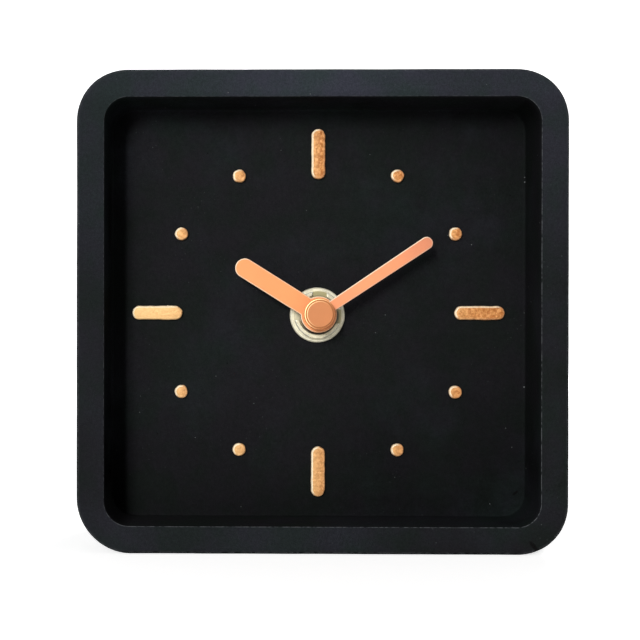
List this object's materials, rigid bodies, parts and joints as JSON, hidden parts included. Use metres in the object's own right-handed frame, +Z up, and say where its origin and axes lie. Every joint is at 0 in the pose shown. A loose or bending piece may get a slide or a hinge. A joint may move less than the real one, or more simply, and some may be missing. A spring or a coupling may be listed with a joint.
{
  "type": "desk clock",
  "caption": "Square free-standing clock: thick cast case with a deep recessed dial, raised markers, flat hands under a round cap, battery movement in a rear pocket.",
  "frame": {"origin": "under the middle of the case, on the surface that the clock stands on", "axes": "+Z up, +X to the right of someone reading the dial, +Y towards the back of the case; the dial faces -Y"},
  "size_m": [0.11, 0.04, 0.1085],
  "materials": {
    "cast_black": "matte",
    "copper_paint": "satin",
    "satin_copper": "satin",
    "pale_brass": "satin",
    "brass": "satin",
    "steel": "satin",
    "black_plastic": "matte",
    "white_plastic": "satin",
    "rubber": "matte",
    "dark_magnet": "matte",
    "wire_copper": "satin",
    "board_green": "satin",
    "black_resin": "gloss",
    "battery_sleeve": "satin"
  },
  "bodies": {
    "clock_case": {"case_body": "cast_black", "marker_1": "copper_paint", "marker_2": "copper_paint", "marker_3": "copper_paint", "marker_4": "copper_paint", "marker_5": "copper_paint", "marker_6": "copper_paint", "marker_7": "copper_paint", "marker_8": "copper_paint", "marker_9": "copper_paint", "marker_10": "copper_paint", "marker_11": "copper_paint", "marker_12": "copper_paint", "threaded_bush": "brass", "gasket": "rubber", "washer": "pale_brass", "nut": "pale_brass", "stator": "steel", "coil_core": "steel", "coil_bobbin": "white_plastic", "coil_winding": "wire_copper", "movement_case": "black_plastic", "movement_cover": "black_plastic", "train_bridge": "white_plastic", "circuit_board": "board_green", "chip": "black_resin", "crystal": "steel", "positive_contact": "steel", "negative_contact": "steel"},
    "minute_hand_set": {"minute_arbor": "steel", "minute_hand": "satin_copper", "hand_cap": "satin_copper"},
    "hour_hand_set": {"hour_wheel": "white_plastic", "hour_hand": "satin_copper"},
    "minute_wheel_set": {"minute_wheel": "white_plastic"},
    "setting_set": {"setting_stem": "white_plastic", "setting_knob": "black_plastic"},
    "rotor_set": {"rotor_pinion": "white_plastic", "rotor_magnet": "dark_magnet"},
    "intermediate_set": {"intermediate_wheel": "white_plastic"},
    "seconds_set": {"seconds_wheel": "white_plastic"},
    "third_set": {"third_wheel": "white_plastic"},
    "centre_set": {"centre_wheel": "brass"},
    "battery_cell": {"battery": "battery_sleeve"}
  },
  "joints": [
    {"name": "minute_hand_turn", "type": "hinge", "parent": "clock_case", "child": "minute_hand_set", "pos_m": [-0.0002, 0, 0.05375], "axis": [0, 1, 0], "continuous": true},
    {"name": "hour_hand_turn", "type": "hinge", "parent": "clock_case", "child": "hour_hand_set", "pos_m": [-0.0002, 0, 0.05375], "axis": [0, 1, 0], "continuous": true},
    {"name": "minute_wheel_turn", "type": "hinge", "parent": "clock_case", "child": "minute_wheel_set", "pos_m": [-0.0067, 0, 0.0575], "axis": [0, 1, 0], "continuous": true},
    {"name": "setting_knob_turn", "type": "hinge", "parent": "clock_case", "child": "setting_set", "pos_m": [-0.012, 0, 0.0628], "axis": [0, 1, 0], "continuous": true},
    {"name": "rotor_turn", "type": "hinge", "parent": "clock_case", "child": "rotor_set", "pos_m": [0.00951, 0, 0.07073], "axis": [0, 1, 0], "continuous": true},
    {"name": "intermediate_turn", "type": "hinge", "parent": "clock_case", "child": "intermediate_set", "pos_m": [0.00413, 0, 0.07168], "axis": [0, 1, 0], "continuous": true},
    {"name": "seconds_turn", "type": "hinge", "parent": "clock_case", "child": "seconds_set", "pos_m": [0.00125, 0, 0.06669], "axis": [0, 1, 0], "continuous": true},
    {"name": "third_turn", "type": "hinge", "parent": "clock_case", "child": "third_set", "pos_m": [0.00358, 0, 0.0603], "axis": [0, 1, 0], "continuous": true},
    {"name": "centre_turn", "type": "hinge", "parent": "clock_case", "child": "centre_set", "pos_m": [-0.0002, 0, 0.05375], "axis": [0, 1, 0], "continuous": true},
    {"name": "battery_slide", "type": "slide", "parent": "clock_case", "child": "battery_cell", "axis": [0, 1, 0], "range_m": [0, 0.02]}
  ],
  "couplings": [
    {"joint": "hour_hand_turn", "follows": "minute_hand_turn", "ratio": 0.083333},
    {"joint": "minute_wheel_turn", "follows": "minute_hand_turn", "ratio": -0.33333},
    {"joint": "setting_knob_turn", "follows": "minute_hand_turn", "ratio": 1},
    {"joint": "intermediate_turn", "follows": "rotor_turn", "ratio": -0.16667},
    {"joint": "seconds_turn", "follows": "rotor_turn", "ratio": 0.033333},
    {"joint": "third_turn", "follows": "rotor_turn", "ratio": -0.0044444},
    {"joint": "centre_turn", "follows": "rotor_turn", "ratio": 0.00055556}
  ]
}
